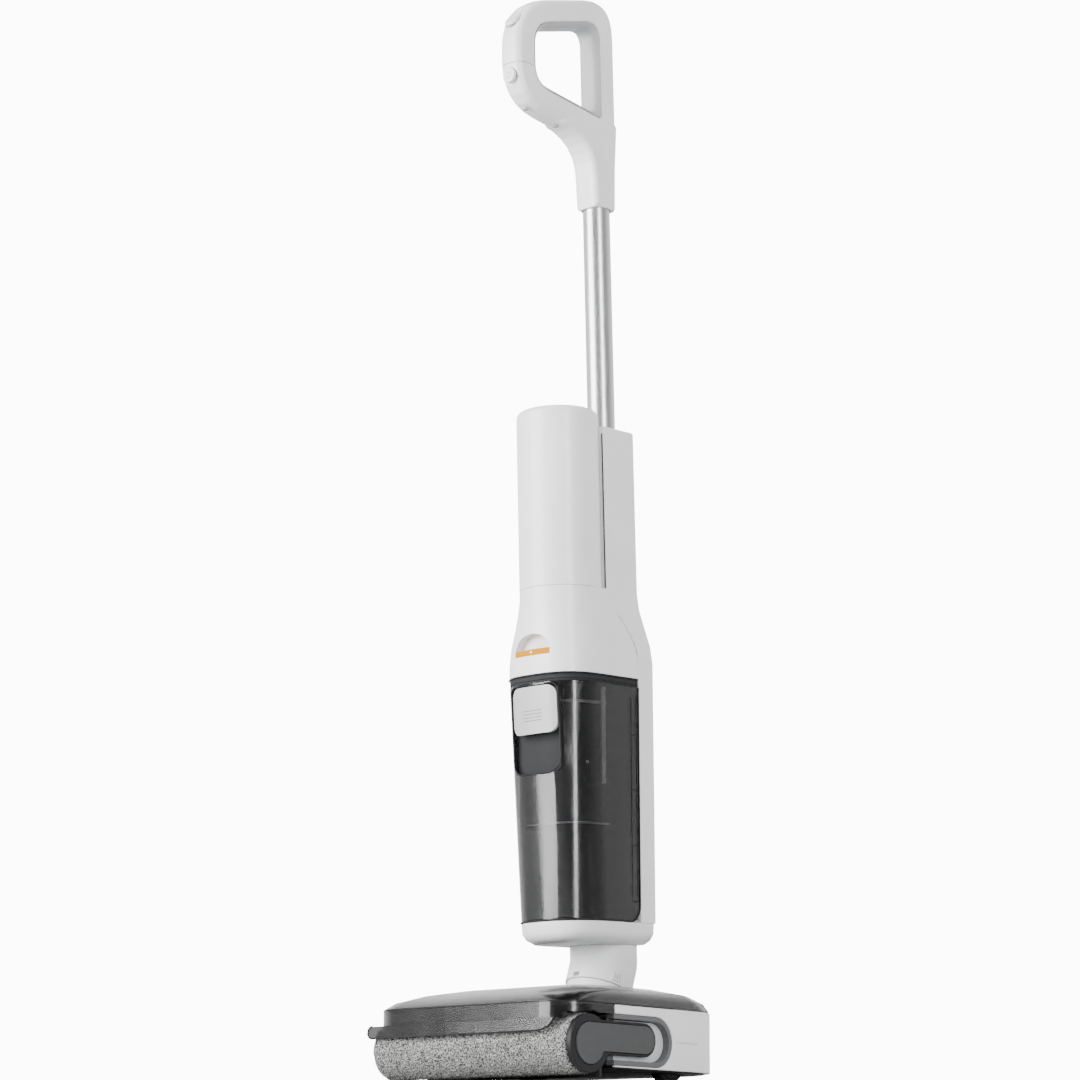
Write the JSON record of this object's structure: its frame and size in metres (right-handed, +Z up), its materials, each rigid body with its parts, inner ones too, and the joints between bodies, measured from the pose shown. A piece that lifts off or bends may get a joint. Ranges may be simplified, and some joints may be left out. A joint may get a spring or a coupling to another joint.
{
  "type": "cordless wet and dry floor scrubber",
  "caption": "Upright cordless floor scrubber with a furry front roller, smoked dirty-water tank, round clean-water tank, slim metal pole and loop handle.",
  "frame": {"origin": "centre of the bounding box's base, on the floor under the middle of the machine", "axes": "+Z up, -Y towards the roller at the front, +X towards the side with the roller's pull-out end cap"},
  "size_m": [0.26, 0.2376, 1.1336],
  "materials": {
    "white_plastic": "satin moulded",
    "grey_plastic": "fine matt grain",
    "dark_grey_plastic": "fine matt grain",
    "black_plastic": "matt",
    "smoked_clear": "clear smoked moulding",
    "fur": "short mixed grey pile",
    "rubber": "matt",
    "orange_plastic": "satin",
    "aluminium": "satin anodised",
    "steel": "brushed",
    "copper": "wound wire and brass",
    "circuit_green": "circuit board",
    "battery_blue": "shrink sleeve",
    "filter_foam": "open foam"
  },
  "bodies": {
    "floor_head": {"side_panel_right": "white_plastic", "side_panel_left": "white_plastic", "recess_liner": "grey_plastic", "base_plate": "black_plastic", "deck_plate": "dark_grey_plastic", "suction_duct": "dark_grey_plastic", "roller_scraper": "black_plastic", "rear_squeegee": "rubber", "water_spreader": "grey_plastic", "roller_bracket": "white_plastic", "roller_motor": "steel", "wheel_gearbox": "black_plastic", "neck_bracket": "dark_grey_plastic", "pivot_pin": "steel"},
    "head_cover": {"head_cover": "smoked_clear", "cover_lip": "black_plastic"},
    "roller_cartridge": {"roller_end_cap": "black_plastic", "roller_lever": "dark_grey_plastic", "roller_bearing": "steel"},
    "roller": {"roller_fur": "fur", "roller_core": "grey_plastic", "drive_hub": "dark_grey_plastic"},
    "wheel_left": {"wheel_hub_left": "dark_grey_plastic", "wheel_tyre_left": "rubber"},
    "wheel_right": {"wheel_hub_right": "dark_grey_plastic", "wheel_tyre_right": "rubber"},
    "neck": {"neck_yoke": "grey_plastic"},
    "main_body": {"neck_elbow": "white_plastic", "base_cup": "white_plastic", "rear_spine": "white_plastic", "spine_liner": "grey_plastic", "shoulder_shell": "white_plastic", "suction_motor": "steel", "motor_filter": "filter_foam", "battery_pack": "battery_blue", "control_board": "circuit_green", "water_pump": "copper"},
    "suction_fan": {"suction_fan": "aluminium"},
    "tank_release_button": {"tank_release_button": "orange_plastic"},
    "pole_button": {"pole_button": "grey_plastic"},
    "dirty_tank": {"dirty_tank_shell": "smoked_clear", "tank_lid": "black_plastic", "tank_gasket": "rubber", "strainer_basket": "dark_grey_plastic"},
    "tank_latch": {"tank_latch": "grey_plastic"},
    "float_pin": {"float_pin": "white_plastic"},
    "clean_tank": {"clean_tank_shell": "white_plastic", "fill_plug": "rubber", "tank_valve": "grey_plastic"},
    "handle_pole": {"pole_tube": "aluminium", "handle_shell": "white_plastic", "handle_insert": "grey_plastic", "handle_screw_1": "steel", "handle_screw_2": "steel"},
    "power_button": {"power_button": "white_plastic"},
    "mode_button": {"mode_button": "white_plastic"}
  },
  "joints": [
    {"name": "cover_lift_off", "type": "slide", "parent": "floor_head", "child": "head_cover", "axis": [0, -1, 0], "range_m": [0, 0.26]},
    {"name": "cartridge_pull_out", "type": "slide", "parent": "floor_head", "child": "roller_cartridge", "axis": [1, 0, 0], "range_m": [0, 0.27]},
    {"name": "roller_spin", "type": "hinge", "parent": "roller_cartridge", "child": "roller", "pos_m": [0, -0.08676, 0.0299], "axis": [1, 0, 0], "continuous": true},
    {"name": "wheel_left_spin", "type": "hinge", "parent": "floor_head", "child": "wheel_left", "pos_m": [0, 0.07324, 0.022], "axis": [1, 0, 0], "continuous": true},
    {"name": "wheel_right_spin", "type": "hinge", "parent": "floor_head", "child": "wheel_right", "pos_m": [0, 0.07324, 0.022], "axis": [1, 0, 0], "continuous": true},
    {"name": "neck_tilt", "type": "hinge", "parent": "floor_head", "child": "neck", "pos_m": [0, 0.05524, 0.045], "axis": [1, 0, 0], "range_deg": [-65, 0]},
    {"name": "body_swivel", "type": "hinge", "parent": "neck", "child": "main_body", "pos_m": [0, 0.05524, 0.045], "axis": [0, 0.3104, 0.9506], "range_deg": [-45, 45]},
    {"name": "fan_spin", "type": "hinge", "parent": "main_body", "child": "suction_fan", "pos_m": [0, 0.0164, 0.43876], "axis": [0, -0.0401, 0.9992], "continuous": true},
    {"name": "tank_release_press", "type": "slide", "parent": "main_body", "child": "tank_release_button", "axis": [0, 0.9992, 0.0401], "range_m": [0, 0.0025], "stiffness_N_per_m": 800},
    {"name": "pole_button_press", "type": "slide", "parent": "main_body", "child": "pole_button", "axis": [0, -0.9992, -0.0401], "range_m": [0, 0.0018], "stiffness_N_per_m": 800},
    {"name": "dirty_tank_pull_out", "type": "slide", "parent": "main_body", "child": "dirty_tank", "axis": [0, -0.9992, -0.0401], "range_m": [0, 0.2]},
    {"name": "tank_latch_pull", "type": "hinge", "parent": "dirty_tank", "child": "tank_latch", "pos_m": [0, -0.02779, 0.38294], "axis": [1, 0, 0], "range_deg": [-18, 0], "stiffness_Nm_per_rad": 0.3},
    {"name": "float_rise", "type": "slide", "parent": "dirty_tank", "child": "float_pin", "axis": [0, -0.0401, 0.9992], "range_m": [0, 0.012]},
    {"name": "clean_tank_pull_out", "type": "slide", "parent": "main_body", "child": "clean_tank", "axis": [0, -0.9992, -0.0401], "range_m": [0, 0.13]},
    {"name": "pole_pull_out", "type": "slide", "parent": "main_body", "child": "handle_pole", "axis": [0, -0.0401, 0.9992], "range_m": [0, 0.07]},
    {"name": "power_press", "type": "slide", "parent": "handle_pole", "child": "power_button", "axis": [0, 0.9992, 0.0401], "range_m": [0, 0.002], "stiffness_N_per_m": 600},
    {"name": "mode_press", "type": "slide", "parent": "handle_pole", "child": "mode_button", "axis": [0, 0.7694, -0.6388], "range_m": [0, 0.0018], "stiffness_N_per_m": 600}
  ]
}
